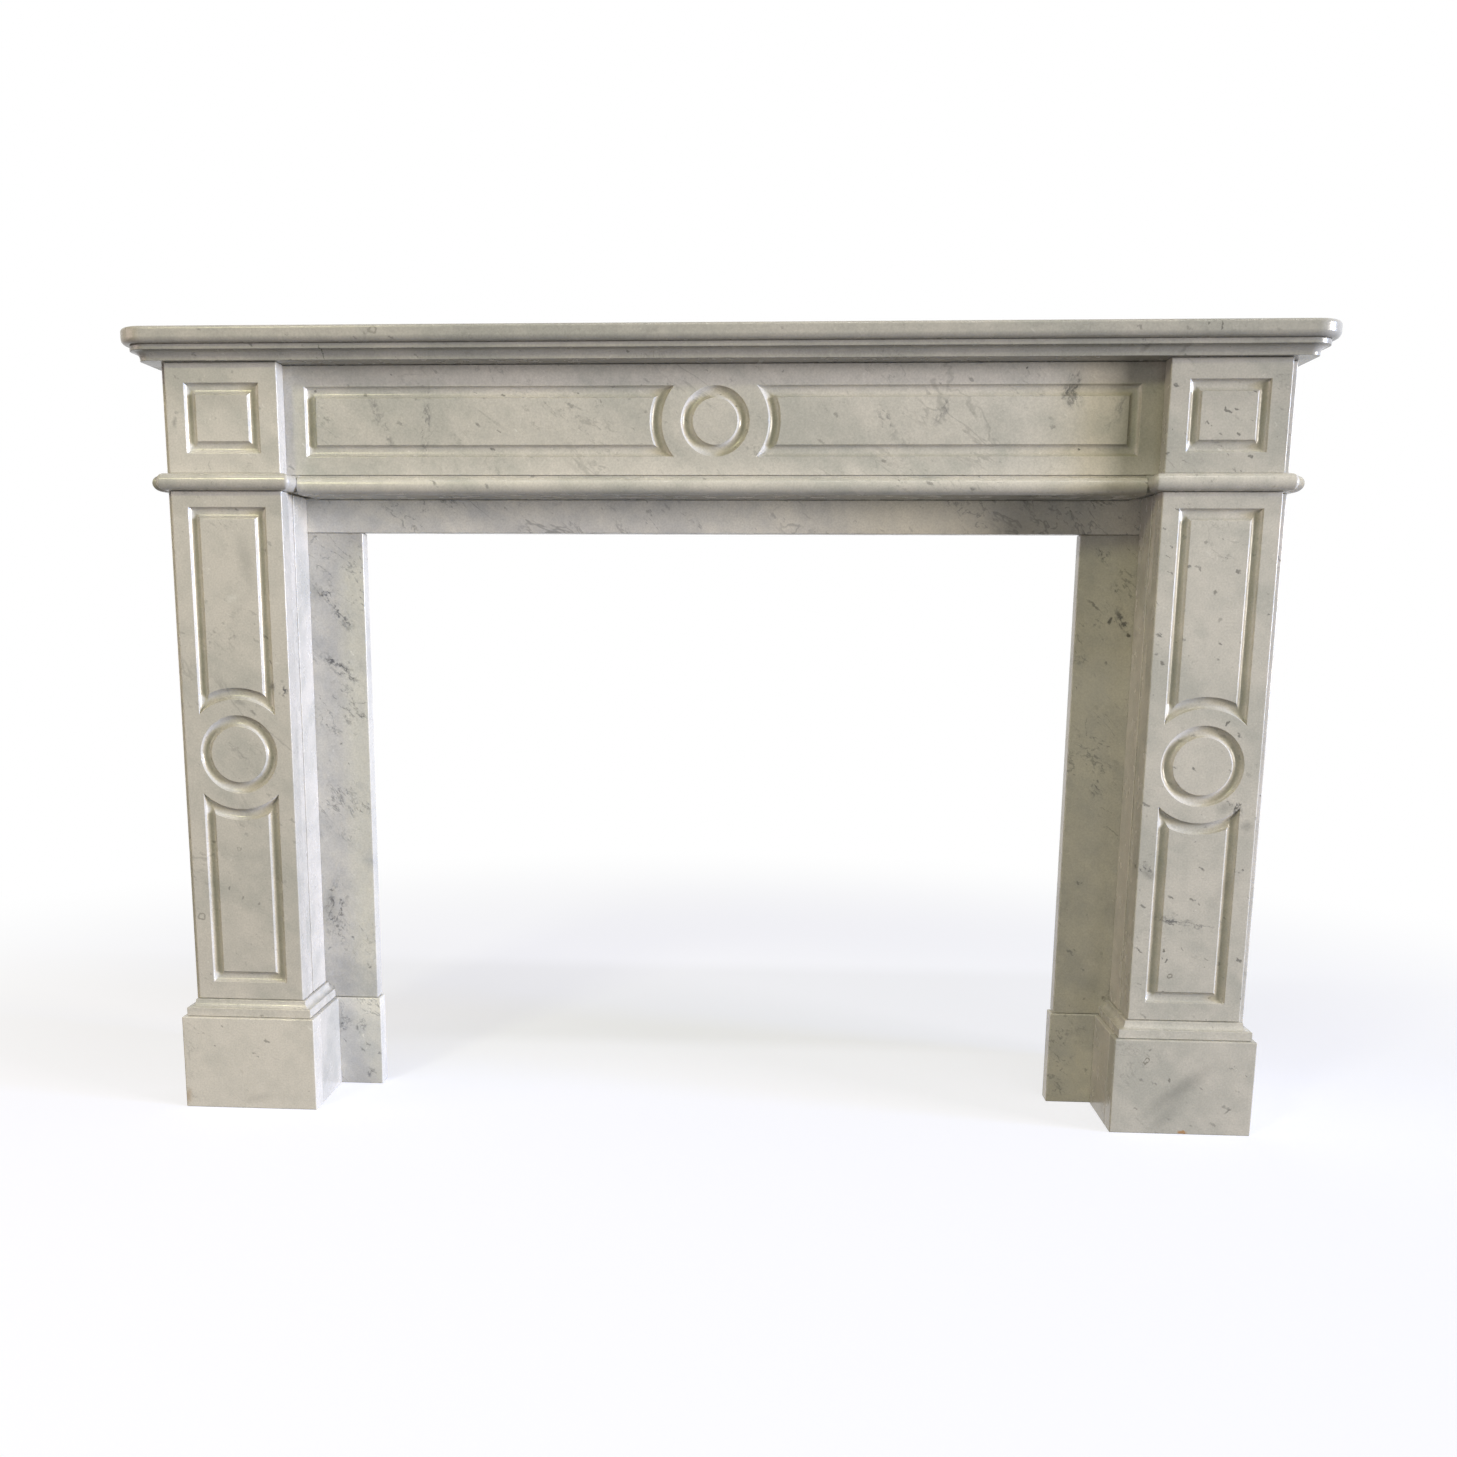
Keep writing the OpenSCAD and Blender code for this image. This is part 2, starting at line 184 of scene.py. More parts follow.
def half_round(height, segments=18):
    """Inset and height of a half-round edge."""
    r = height / 2
    turns = [math.pi * (i / segments - 0.5) for i in range(segments + 1)]
    return [Vector((r - r * math.cos(a), r + r * math.sin(a))) for a in turns]


def arc(centre, r, start, end, segments=8):
    """Points along an arc between two directions in degrees."""
    turns = [math.radians(start + (end - start) * i / segments) for i in range(segments + 1)]
    return [centre + Vector((r * math.cos(a), r * math.sin(a))) for a in turns]


def square_edge(height, r=ARRIS):
    """Inset and height of a plain slab's edge with rounded arrises."""
    return soften([Vector((2 * r, 0)), Vector((0, 0)),
                   Vector((0, height)), Vector((2 * r, height))], [r, r])


# ---------------------------------------------------------------- meshes

class Shape:
    """Points and faces of one closed piece."""

    def __init__(self):
        self.points, self.faces = [], []

    def loop(self, points):
        first = len(self.points)
        self.points += [Vector(p) for p in points]
        return list(range(first, len(self.points)))

    def skin(self, loops):
        for a, b in zip(loops, loops[1:]):
            n = len(a)
            for i in range(n):
                j = (i + 1) % n
                self.faces.append((a[i], a[j], b[j], b[i]))

    def cap(self, loop, holes=()):
        if not holes:
            self.faces.append(tuple(loop))
            return
        rings = [loop, *holes]
        flat = [i for ring in rings for i in ring]
        for t in tessellate_polygon([[self.points[i] for i in ring] for ring in rings]):
            self.faces.append(tuple(flat[i] for i in t))


def wear(bm, seed):
    """Softens the arrises a little unevenly, with a few small chips, always inwards."""
    shift = Vector((seed * 3.7, seed * 1.3, seed * 2.1))
    bm.normal_update()
    for v in bm.verts:
        normals = [f.normal for f in v.link_faces]
        bend = 1 - min(normals[0].dot(n) for n in normals[1:])
        if bend < 0.02:
            continue
        p = v.co + shift
        rough = 0.5 + 0.5 * noise.noise(p * 60)
        chip = max(0.0, noise.noise(p * 50 + Vector((9, 4, 2))) - 0.5)
        v.co -= v.normal * min(1.0, bend * 4) * (WEAR_DEPTH * rough + CHIP_DEPTH * chip)


def piece(name, shape, look, replaces, seed):
    """The mesh object of one shape, worn and smoothed, shown in place of its CAD node, which is
    hidden.
    """
    mesh = bpy.data.meshes.new(name)
    bm = bmesh.new()
    verts = [bm.verts.new(p) for p in shape.points]
    for f in shape.faces:
        bm.faces.new([verts[i] for i in f])
    bmesh.ops.recalc_face_normals(bm, faces=bm.faces)
    wear(bm, seed)
    bm.to_mesh(mesh)
    bm.free()
    mesh.shade_smooth()
    mesh.set_sharp_from_angle(angle=SHARP_ANGLE)
    obj = bpy.data.objects.new(name, mesh)
    bpy.context.scene.collection.objects.link(obj)
    mesh.materials.append(look)
    even = obj.modifiers.new("flat_faces", "WEIGHTED_NORMAL")
    even.keep_sharp = True
    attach(obj, "root")
    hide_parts(replaces)
    return obj


def stack(corners, factors, profile, base_z, **options):
    """A closed shape whose plan outline is stacked up along an edge profile of (inset, height)."""
    shape = Shape()
    loops = []
    for p in profile:
        points = plan(corners, factors, p.x, **options)
        loops.append(shape.loop([(q.x, q.y, base_z + p.y) for q in points]))
    shape.skin(loops)
    shape.cap(loops[0])
    shape.cap(loops[-1])
    return shape


def tight(node):
    """A node's box, drawn in by the joint on every side but the floor, the wall and the top."""
    low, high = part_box(node)
    low, high = low.copy(), high.copy()
    for i in range(3):
        low[i] += JOINT
        high[i] -= JOINT
    if low.z < 2 * JOINT:
        low.z = 0.0
    if high.y > BACK_Y - 2 * JOINT:
        high.y = BACK_Y
    if high.z > SHELF_TOP - 2 * JOINT:
        high.z = SHELF_TOP
    return low, high


def rectangle(x0, y0, x1, y1):
    return [Vector((x0, y0)), Vector((x1, y0)), Vector((x1, y1)), Vector((x0, y1))]


def plain_slab(node, r):
    """A plain block in the node's box, with rounded edges."""
    low, high = tight(node)
    return stack(rectangle(low.x, low.y, high.x, high.y), [1] * 4,
                 square_edge(high.z - low.z, r), low.z, radius=r, rounded=range(4), arc_points=4)


# ---------------------------------------------------------------- carved slabs

def groove_profile():
    """Offset from the outer edge and depth of the carved groove, arrises rounded."""
    half = GROOVE_W / 2
    cove_r = (half * half + GROOVE_D * GROOVE_D) / (2 * GROOVE_D)
    lean = math.asin(half / cove_r)
    cove = []
    for i in range(1, 12):
        a = lean * (2 * i / 12 - 1)
        depth = cove_r * math.cos(a) - (cove_r - GROOVE_D)
        cove.append(Vector((half + cove_r * math.sin(a), depth)))
    reach = GROOVE_ARRIS * math.tan(lean / 2)
    edge = []
    for k in range(5):
        a = lean * k / 4
        edge.append(Vector((-reach + GROOVE_ARRIS * math.sin(a), GROOVE_ARRIS * (1 - math.cos(a)))))
    far = [Vector((GROOVE_W - p.x, p.y)) for p in reversed(edge)]
    return edge + cove + far


def ring_outline(centre, r):
    """A circle, as a function that gives its points moved in by t."""
    def at(t):
        turns = [2 * math.pi * i / RING_POINTS for i in range(RING_POINTS)]
        return [centre + Vector((math.cos(a), math.sin(a))) * (r - t) for a in turns]
    return at


def rectangle_outline(low, high):
    """A rectangle, as a function that gives its points moved in by t."""
    def at(t):
        a, c = low + Vector((t, t)), high - Vector((t, t))
        corners = [a, Vector((c.x, a.y)), c, Vector((a.x, c.y))]
        loop = []
        for i in range(4):
            count = round((high - low)[i % 2] / STEP)
            loop += spread(corners[i], corners[(i + 1) % 4], count)
        return loop
    return at


def arched_outline(centre, half_w, flat, arc_r, turn):
    """A panel that runs from its flat end to a hollow arc about centre, turned by turn."""
    spin = Matrix.Rotation(turn, 2)

    def at(t):
        x, foot, r = half_w - t, flat + t, arc_r + t
        tip = -math.sqrt(r * r - x * x)
        side = round((abs(flat) - arc_r) / STEP)
        loop = spread(Vector((-x, foot)), Vector((x, foot)), round(2 * half_w / STEP))
        loop += spread(Vector((x, foot)), Vector((x, tip)), side)
        a0, a1 = math.atan2(tip, x), math.atan2(tip, -x)
        turns = [a0 + (a1 - a0) * i / ARCH_POINTS for i in range(ARCH_POINTS)]
        loop += [Vector((math.cos(a), math.sin(a))) * r for a in turns]
        loop += spread(Vector((-x, tip)), Vector((-x, foot)), side)
        return [centre + spin @ p for p in loop]
    return at


def upright_loops(shape, outline, factors, front_y, back_y, r):
    """The sides and the back of a slab whose outline is drawn in the XZ plane, front left open."""
    loops = []
    for p in square_edge(back_y - front_y, r):
        points = plan(outline, factors, p.x)
        loops.append(shape.loop([(q.x, back_y - p.y, q.y) for q in points]))
    shape.skin(loops)
    shape.cap(loops[0])
    return loops


def upright_slab(outline, factors, front_y, back_y, r=ARRIS):
    """A closed slab whose outline is drawn in the XZ plane."""
    shape = Shape()
    loops = upright_loops(shape, outline, factors, front_y, back_y, r)
    shape.cap(loops[-1])
    return shape


def carved_slab(node, outlines):
    """A plain slab with a groove carved into its front along each outline."""
    low, high = tight(node)
    shape = Shape()
    face = rectangle(low.x, low.z, high.x, high.z)
    loops = upright_loops(shape, face, [1] * 4, low.y, high.y, ARRIS)
    holes = []
    for outline in outlines:
        rings = []
        for p in groove_profile():
            rings.append(shape.loop([(q.x, low.y + p.y, q.y) for q in outline(p.x)]))
        shape.skin(rings)
        shape.cap(rings[-1])
        holes.append(rings[0])
    shape.cap(loops[-1], holes)
    return shape


# ---------------------------------------------------------------- marble

def add(tree, kind, inputs=None, **settings):
    """A node with its settings; each input is a number or colour, or a socket to link from."""
    made = tree.nodes.new(kind)
    for key, value in settings.items():
        setattr(made, key, value)
    for key, value in (inputs or {}).items():
        if isinstance(value, bpy.types.NodeSocket):
            tree.links.new(value, made.inputs[key])
        else:
            made.inputs[key].default_value = value
    return made


def ramp(tree, value, low, high, to_low=0.0, to_high=1.0):
    """A smooth step from to_low at low to to_high at high."""
    made = add(tree, "ShaderNodeMapRange", {
        "Value": value, "From Min": low, "From Max": high,
        "To Min": to_low, "To Max": to_high}, interpolation_type="SMOOTHSTEP")
    return made.outputs["Result"]


def maths(tree, operation, a, b=0.0):
    return add(tree, "ShaderNodeMath", {0: a, 1: b}, operation=operation).outputs[0]


def times(tree, *values):
    out = values[0]
    for value in values[1:]:
        out = maths(tree, "MULTIPLY", out, value)
    return out


def mix_color(tree, share, a, b):
    """From colour a to colour b. The sockets of the colour version are numbers 0, 6 and 7."""
    return add(tree, "ShaderNodeMix", {0: share, 6: a, 7: b}, data_type="RGBA").outputs[2]


def noise_at(tree, where, scale, detail=4.0, rough=0.55, twist=0.0):
    made = add(tree, "ShaderNodeTexNoise", {
        "Vector": where, "Scale": scale, "Detail": detail,
        "Roughness": rough, "Distortion": twist})
    return made.outputs["Fac"]


def lines(tree, where, scale, width, twist=1.2, detail=5.0):
    """Thin wandering lines: where a noise crosses its middle value."""
    wave = noise_at(tree, where, scale, detail, 0.6, twist)
    away = maths(tree, "ABSOLUTE", maths(tree, "SUBTRACT", wave, 0.5))
    return ramp(tree, away, 0.0, width, 1.0, 0.0)


def shifted(tree, where, by):
    return add(tree, "ShaderNodeVectorMath", {0: where, 1: by}, operation="ADD").outputs[0]


def stretched(tree, value, factor):
    """A vector or a colour times a number."""
    made = add(tree, "ShaderNodeVectorMath", {0: value, "Scale": factor}, operation="SCALE")
    return made.outputs[0]


def length_of(tree, where):
    return add(tree, "ShaderNodeVectorMath", {0: where}, operation="LENGTH").outputs["Value"]


def drawn_out(tree, where, slope, factor):
    """Coordinates in which a pattern is drawn out along a slope in the XZ plane."""
    turned = add(tree, "ShaderNodeMapping", {"Vector": where, "Rotation": (0, slope, 0)}).outputs[0]
    return add(tree, "ShaderNodeMapping", {"Vector": turned, "Scale": (factor, 1, 1)}).outputs[0]


def specks(tree, where, scale, radius, share):
    """Small blots, one in some of the cells of a cell pattern."""
    cells = add(tree, "ShaderNodeTexVoronoi", {"Vector": where, "Scale": scale, "Randomness": 1.0})
    pick = add(tree, "ShaderNodeSeparateColor", {"Color": cells.outputs["Color"]})
    chosen = ramp(tree, pick.outputs[0], 1 - share, 1 - share + 0.02)
    weight = ramp(tree, pick.outputs[1], 0.0, 1.0, 0.35, 1.0)
    size = ramp(tree, pick.outputs[2], 0.0, 1.0, 0.5 * radius, radius)
    near = maths(tree, "DIVIDE", cells.outputs["Distance"], size)
    return times(tree, ramp(tree, near, 0.45, 1.0, 1.0, 0.0), chosen, weight)


def mark_mask(tree, place, kind, centre, length, width, slope):
    """Where a single mark shows: its middle is at centre and its length lies along the slope."""
    local = add(tree, "ShaderNodeMapping", {
        "Vector": place, "Location": (centre.x, 0, centre.y),
        "Rotation": (0, -math.radians(slope), 0),
        "Scale": (length / 2 * MM, MARK_DEPTH, width / 2 * MM)}, vector_type="TEXTURE").outputs[0]
    away = length_of(tree, local)
    if kind == "ring":
        off_line = maths(tree, "ABSOLUTE", maths(tree, "SUBTRACT", away, 0.7))
        return ramp(tree, off_line, 0.1, 0.3, 1.0, 0.0)
    if kind == "veins":
        along = drawn_out(tree, place, math.radians(slope), 0.20)
        thin = maths(tree, "MAXIMUM", lines(tree, along, MARK_VEIN_SCALE, 0.055, 0.5, 3.0),
                     times(tree, lines(tree, along, MARK_FINE_SCALE, 0.06, 0.4, 2.0), 0.7))
        broken = ramp(tree, noise_at(tree, place, MARK_BREAK_SCALE, 2.0), 0.38, 0.58)
        return times(tree, ramp(tree, away, 0.3, 1.0, 1.0, 0.0), thin, broken)
    soft = 0.0 if kind in ("cloud", "light", "brown") else 0.4
    return ramp(tree, away, soft, 1.0, 1.0, 0.0)


MARK_COLORS = {
    "spot": (0.15, 0.145, 0.13, 1),
    "veins": (0.12, 0.12, 0.125, 1),
    "ring": (0.24, 0.23, 0.20, 1),
    "cloud": (0.22, 0.22, 0.205, 1),
    "light": (0.72, 0.71, 0.67, 1),
    "brown": (0.36, 0.27, 0.17, 1),
    "rust": (0.42, 0.22, 0.08, 1),
}

# The marks that show on single slabs: kind, place across and up the slab's front as shares of its
# width and height, length and width in millimetres, slope in degrees, strength
MARKS = {
    "left_corner_block": [
        ("cloud", 0.07, 0.46, 20, 11, 80, 0.6), ("spot", 0.61, 0.91, 6, 4, 90, 0.4),
        ("veins", 0.37, 0.07, 16, 6, 85, 0.9), ("spot", 0.30, 0.22, 5, 3, 20, 0.3),
        ("spot", 0.44, 0.50, 4, 3, 60, 0.3)],
    "frieze_slab": [
        ("veins", 0.20, 0.50, 110, 20, 110, 0.6), ("veins", 0.24, 0.46, 120, 18, 85, 0.7),
        ("spot", 0.21, 0.91, 3, 3, 0, 0.8), ("veins", 0.81, 0.78, 60, 26, 70, 1.0),
        ("veins", 0.81, 0.70, 45, 30, 120, 0.9), ("cloud", 0.81, 0.75, 60, 26, 70, 0.5),
        ("veins", 0.65, 0.48, 60, 22, 120, 0.7), ("veins", 0.70, 0.58, 60, 18, 60, 0.5),
        ("veins", 0.85, 0.55, 60, 16, 65, 0.6), ("spot", 0.77, 0.95, 3, 3, 0, 1.0),
        ("spot", 0.82, 0.23, 3, 3, 0, 1.0)],
    "left_slip": [
        ("veins", 0.39, 0.88, 60, 30, -50, 1.0), ("cloud", 0.30, 0.88, 40, 24, -50, 0.4),
        ("veins", 0.64, 0.83, 70, 26, -50, 0.9), ("veins", 0.60, 0.72, 95, 24, -35, 1.0),
        ("veins", 0.91, 0.62, 26, 12, -45, 1.0), ("spot", 0.95, 0.92, 5, 4, 0, 0.7),
        ("spot", 0.57, 0.56, 5, 4, 30, 0.8), ("veins", 0.40, 0.20, 120, 40, 80, 1.0),
        ("cloud", 0.30, 0.20, 130, 50, 85, 0.45), ("spot", 0.89, 0.07, 7, 5, 0, 0.6),
        ("spot", 0.49, 0.20, 8, 5, 100, 0.9), ("spot", 0.34, 0.24, 6, 4, -40, 0.7),
        ("spot", 0.42, 0.16, 7, 5, -30, 0.7)],
    "left_jamb_front": [
        ("cloud", 0.65, 0.87, 90, 30, 100, 0.30), ("light", 0.51, 0.80, 30, 13, 25, 0.5),
        ("cloud", 0.53, 0.60, 26, 14, -20, 0.5), ("spot", 0.65, 0.58, 14, 6, -35, 0.5),
        ("cloud", 0.83, 0.63, 20, 12, 70, 0.6), ("veins", 0.83, 0.63, 22, 14, 60, 0.7),
        ("veins", 0.94, 0.62, 22, 16, 80, 1.0), ("ring", 0.07, 0.17, 13, 12, 0, 0.6),
        ("ring", 0.46, 0.31, 7, 6, 0, 0.5), ("spot", 0.34, 0.23, 7, 5, 90, 0.6),
        ("spot", 0.47, 0.21, 8, 4, 30, 0.6), ("spot", 0.62, 0.20, 5, 4, 90, 0.5),
        ("veins", 0.50, 0.50, 70, 12, -45, 0.4)],
    "left_slip_foot": [
        ("veins", 0.45, 0.70, 40, 26, 40, 1.0), ("cloud", 0.35, 0.70, 34, 24, 40, 0.5),
        ("veins", 0.70, 0.66, 26, 18, 50, 1.0), ("veins", 0.82, 0.13, 24, 18, -40, 0.9)],
    "left_plinth_front": [
        ("brown", 0.02, 0.12, 34, 16, 80, 0.6), ("cloud", 0.55, 0.12, 60, 22, 10, 0.25)],
    "right_slip": [
        ("veins", 0.34, 0.96, 40, 22, -55, 1.0), ("spot", 0.25, 0.86, 32, 4, -40, 0.7),
        ("spot", 0.48, 0.83, 13, 7, 60, 1.0), ("spot", 0.75, 0.80, 9, 5, -30, 1.0),
        ("veins", 0.65, 0.83, 50, 24, -60, 0.9), ("veins", 0.44, 0.48, 36, 24, -40, 0.9)],
    "right_jamb_front": [
        ("spot", 0.50, 0.82, 10, 7, 60, 0.7), ("spot", 0.39, 0.91, 8, 4, 90, 0.5),
        ("spot", 0.55, 0.77, 6, 5, 0, 0.4), ("spot", 0.69, 0.58, 11, 4, 70, 0.9),
        ("veins", 0.82, 0.42, 26, 16, -45, 1.0), ("spot", 0.82, 0.42, 10, 3, 35, 1.0),
        ("spot", 0.82, 0.42, 9, 3, -50, 1.0), ("cloud", 0.72, 0.42, 34, 22, 10, 0.5),
        ("cloud", 0.92, 0.385, 26, 22, 0, 0.5), ("veins", 0.06, 0.30, 40, 16, -35, 1.0),
        ("cloud", 0.10, 0.29, 30, 18, -35, 0.6), ("veins", 0.38, 0.20, 50, 18, 5, 1.0),
        ("veins", 0.45, 0.195, 130, 14, -10, 0.9), ("spot", 0.28, 0.14, 6, 4, 90, 0.9),
        ("spot", 0.31, 0.12, 7, 4, 90, 0.9), ("ring", 0.35, 0.09, 9, 7, 90, 0.9),
        ("cloud", 0.80, 0.27, 120, 30, 55, 0.22)],
    "right_plinth_front": [
        ("ring", 0.23, 0.78, 12, 6, 60, 0.9), ("spot", 0.40, 0.58, 9, 4, 110, 0.7),
        ("spot", 0.83, 0.27, 16, 4, 35, 0.6), ("cloud", 0.48, 0.48, 150, 34, 40, 0.5),
        ("cloud", 0.40, 0.20, 90, 26, 50, 0.3), ("rust", 0.52, 0.02, 14, 8, 0, 0.9)],
    "shelf_slab": [
        ("ring", 0.22, 0.67, 14, 12, 0, 0.5), ("spot", 0.90, 0.59, 12, 2.5, 90, 0.9),
        ("spot", 0.89, 0.70, 7, 2, 90, 0.6), ("cloud", 0.45, 0.50, 40, 14, 20, 0.3)],
    "shelf_bed_moulding": [
        ("spot", 0.17, 0.47, 24, 2, 100, 0.8), ("cloud", 0.85, 0.50, 24, 9, 60, 0.5),
        ("cloud", 0.88, 0.36, 24, 9, 45, 0.5)],
}

# How light each slab is drawn against the rest: partly the stone's own tone and partly painted
# light and shade, darker for the shelf and its bed moulding, which sit in shade, lighter for the
# header slip and the feet, which the lamps leave too dark, and darker on the right-hand block,
# where the lamps fall stronger
TONES_AND_PAINTED_LIGHT = {
    "shelf_slab": 0.72, "shelf_bed_moulding": 0.66,
    "frieze_slab": 1.02, "frieze_bead": 0.97, "header_slip": 1.45,
    "left_corner_block": 0.96, "right_corner_block": 0.84,
    "left_capping_band": 0.85, "right_capping_band": 0.95,
    "left_jamb_front": 0.93, "right_jamb_front": 0.95,
    "left_plinth_front": 1.12, "right_plinth_front": 0.98,
    "left_slip": 1.04, "right_slip": 1.05,
    "left_slip_foot": 1.25, "right_slip_foot": 1.25,
}

# The share of the cells of the speck pattern that hold a speck, on the slabs with more of them
SPECKLED = {"right_corner_block": 0.9, "right_jamb_front": 0.9, "right_capping_band": 0.8,
            "right_plinth_front": 0.5, "left_jamb_front": 0.5}

# The slabs with long wandering veins
LONG_VEINED = ("frieze_slab", "header_slip", "left_jamb_front")

# The two stones: pale, cloud and vein colours, how strong the clouds, veins and specks are, the
# slope they are drawn out along in radians, and how much of a slab stays without short veins
STONES = {
    "white_marble": dict(pale=(0.60, 0.575, 0.53, 1), grey=(0.46, 0.455, 0.42, 1),
                         dark=(0.20, 0.195, 0.18, 1),
                         cloud=0.9, vein=0.35, speck=0.9, slope=-0.6, bare=0.56),
    "grey_marble": dict(pale=(0.58, 0.565, 0.52, 1), grey=(0.42, 0.42, 0.41, 1),
                        dark=(0.15, 0.15, 0.15, 1),
                        cloud=0.8, vein=0.6, speck=0.7, slope=-0.75, bare=0.50),
}
LIGHT_SPECK = (0.75, 0.74, 0.70)


def scaled(color, factor):
    """A colour made lighter or darker."""
    return (*(c * factor for c in color[:3]), 1)


def marble(node, stone, seed):
    """The stone of one slab: clouds, veins, specks and grain, and the marks that are its own."""
    look = STONES[stone]
    # the slab's lightness: partly its stone's own tone, partly painted light and shade
    tone_and_painted_light = TONES_AND_PAINTED_LIGHT.get(node, 1.0)
    mat = bpy.data.materials.new(node + "_marble")
    mat.use_nodes = True
    tree = mat.node_tree
    shader = tree.nodes["Principled BSDF"]
    low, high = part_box(node)
    sideways = high.x - low.x < high.y - low.y
    place = add(tree, "ShaderNodeTexCoord").outputs["Object"]
    where = add(tree, "ShaderNodeMapping", {
        "Vector": place, "Location": (seed * 1.73, seed * 2.91, seed * 0.77),
        "Rotation": (0, 0, math.pi / 2 if sideways else 0)}).outputs[0]
    along = drawn_out(tree, where, look["slope"], 0.45)

    # the sides of a slab carry fainter veins and specks than its front
    facing = add(tree, "ShaderNodeSeparateXYZ", {
        "Vector": add(tree, "ShaderNodeNewGeometry").outputs["True Normal"]}).outputs["Y"]
    calm = ramp(tree, maths(tree, "ABSOLUTE", facing), 0.3, 0.9, 0.3, 1.0)

    clouds = ramp(tree, noise_at(tree, along, CLOUD_SCALE, 5.0, 0.55, 0.3), 0.40, 0.70)
    mottle = ramp(tree, noise_at(tree, where, MOTTLE_SCALE, 4.0, 0.6), 0.35, 0.72, 0.0, 0.5)
    grey = times(tree, maths(tree, "ADD", clouds, mottle), look["cloud"])
    color = mix_color(tree, grey, scaled(look["pale"], tone_and_painted_light), scaled(look["grey"], tone_and_painted_light))

    dark = scaled(look["dark"], tone_and_painted_light)
    fine_patch = ramp(tree, noise_at(tree, where, SHORT_VEIN_PATCHES, 2.0),
                      look["bare"], look["bare"] + 0.1)
    broken = ramp(tree, noise_at(tree, where, SHORT_VEIN_BREAKS, 2.0), 0.40, 0.55)
    veins = times(tree, lines(tree, along, SHORT_VEIN_SCALE, 0.026, 0.5), fine_patch, broken)
    if node in LONG_VEINED:
        patch = ramp(tree, noise_at(tree, where, LONG_VEIN_PATCHES, 2.0), 0.52, 0.64)
        long_veins = times(tree, lines(tree, along, LONG_VEIN_SCALE, 0.014, 0.8), patch)
        veins = maths(tree, "MAXIMUM", long_veins, veins)
    color = mix_color(tree, times(tree, veins, calm, look["vein"]), color, dark)

    # a small stir of the coordinates keeps specks and marks from being round
    stir = add(tree, "ShaderNodeTexNoise", {"Vector": where, "Scale": STIR_SCALE, "Detail": 2.0})
    stir = add(tree, "ShaderNodeVectorMath", {0: stir.outputs["Color"], 1: (0.5, 0.5, 0.5)},
               operation="SUBTRACT").outputs[0]
    stir = stretched(tree, stir, STIR_REACH)
    uneven = shifted(tree, along, stir)
    share = SPECKLED.get(node, SPECK_SHARE)
    dots = specks(tree, uneven, SPECK_SCALE, 0.22, share)
    color = mix_color(tree, times(tree, dots, calm, look["speck"]), color, dark)
    fine = specks(tree, uneven, FINE_SPECK_SCALE, 0.28, 0.3 * share)
    color = mix_color(tree, times(tree, fine, calm, 0.7 * look["speck"]), color, dark)
    light = specks(tree, uneven, LIGHT_SPECK_SCALE, 0.24, 0.12)
    color = mix_color(tree, times(tree, light, calm, 0.5), color, scaled(LIGHT_SPECK, tone_and_painted_light))

    blurred = shifted(tree, place, stir)
    for kind, across, up, length, width, slope, strength in MARKS.get(node, []):
        centre = Vector((low.x + across * (high.x - low.x), low.z + up * (high.z - low.z)))
        mask = mark_mask(tree, blurred, kind, centre, length, width, slope)
        color = mix_color(tree, times(tree, mask, strength), color, scaled(MARK_COLORS[kind], tone_and_painted_light))

    grain = noise_at(tree, place, GRAIN_SCALE, 3.0, 0.6)
    color = stretched(tree, color, ramp(tree, grain, 0.25, 0.75, 0.90, 1.08))
    tree.links.new(color, shader.inputs["Base Color"])
    gloss = ramp(tree, noise_at(tree, where, GLOSS_SCALE, 5.0), 0.3, 0.7, 0.18, 0.30)
    tree.links.new(gloss, shader.inputs["Roughness"])
    shader.inputs["IOR"].default_value = 1.5
    relief = add(tree, "ShaderNodeBump", {"Height": grain, "Strength": GRAIN_RELIEF,
                                          "Distance": GRAIN_DEPTH}).outputs["Normal"]
    tree.links.new(relief, shader.inputs["Normal"])
    return mat


# ---------------------------------------------------------------- pieces

seeds = {n: i + 1 for i, n in enumerate(sorted(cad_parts))}


def make(node, shape, stone="white_marble"):
    """The finished piece of one node, in its own marble."""
    look = marble(node, stone, seeds[node])
    return piece(node + "_stone", shape, look, node, seeds[node])


def shelf_plan(node):
    """The plan of a shelf slab, whose back edge stays flush with the wall."""
    low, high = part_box(node)
    return rectangle(low.x, low.y, high.x, high.y), [1, 1, 0, 1]


low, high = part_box("shelf_slab")
thick = high.z - low.z
under = Vector((SHELF_UNDER_R, SHELF_UNDER_R))
upper = Vector((SHELF_UPPER_R, thick - SHELF_UPPER_R))
shelf_edge = [Vector((SHELF_UNDER_R + EDGE_LAND, 0)), *arc(under, SHELF_UNDER_R, 270, 180),
              *arc(upper, SHELF_UPPER_R, 180, 90), Vector((SHELF_UPPER_R + EDGE_LAND, thick))]
corners, factors = shelf_plan("shelf_slab")
make("shelf_slab", stack(corners, factors, shelf_edge, low.z,
                         radius=SHELF_CORNER_R, rounded=(0, 1)))

low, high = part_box("shelf_bed_moulding")
thick = high.z - low.z
foot = BED_COVE_R + BED_STEP
bed_edge = soften([Vector((foot + 4 * MM, JOINT)), Vector((foot, JOINT)),
                   *arc(Vector((BED_STEP, BED_LIP)), BED_COVE_R, 0, 90, 10),
                   Vector((0, BED_LIP + BED_COVE_R)), Vector((0, thick)), Vector((3 * MM, thick))],
                  [0.5 * MM] + [0] * 10 + [0.4 * MM, 1.6 * MM, 1.2 * MM])
corners, factors = shelf_plan("shelf_bed_moulding")
make("shelf_bed_moulding", stack(corners, factors, bed_edge, low.z,
                                 radius=SHELF_CORNER_R - BED_SETBACK, rounded=(0, 1)))

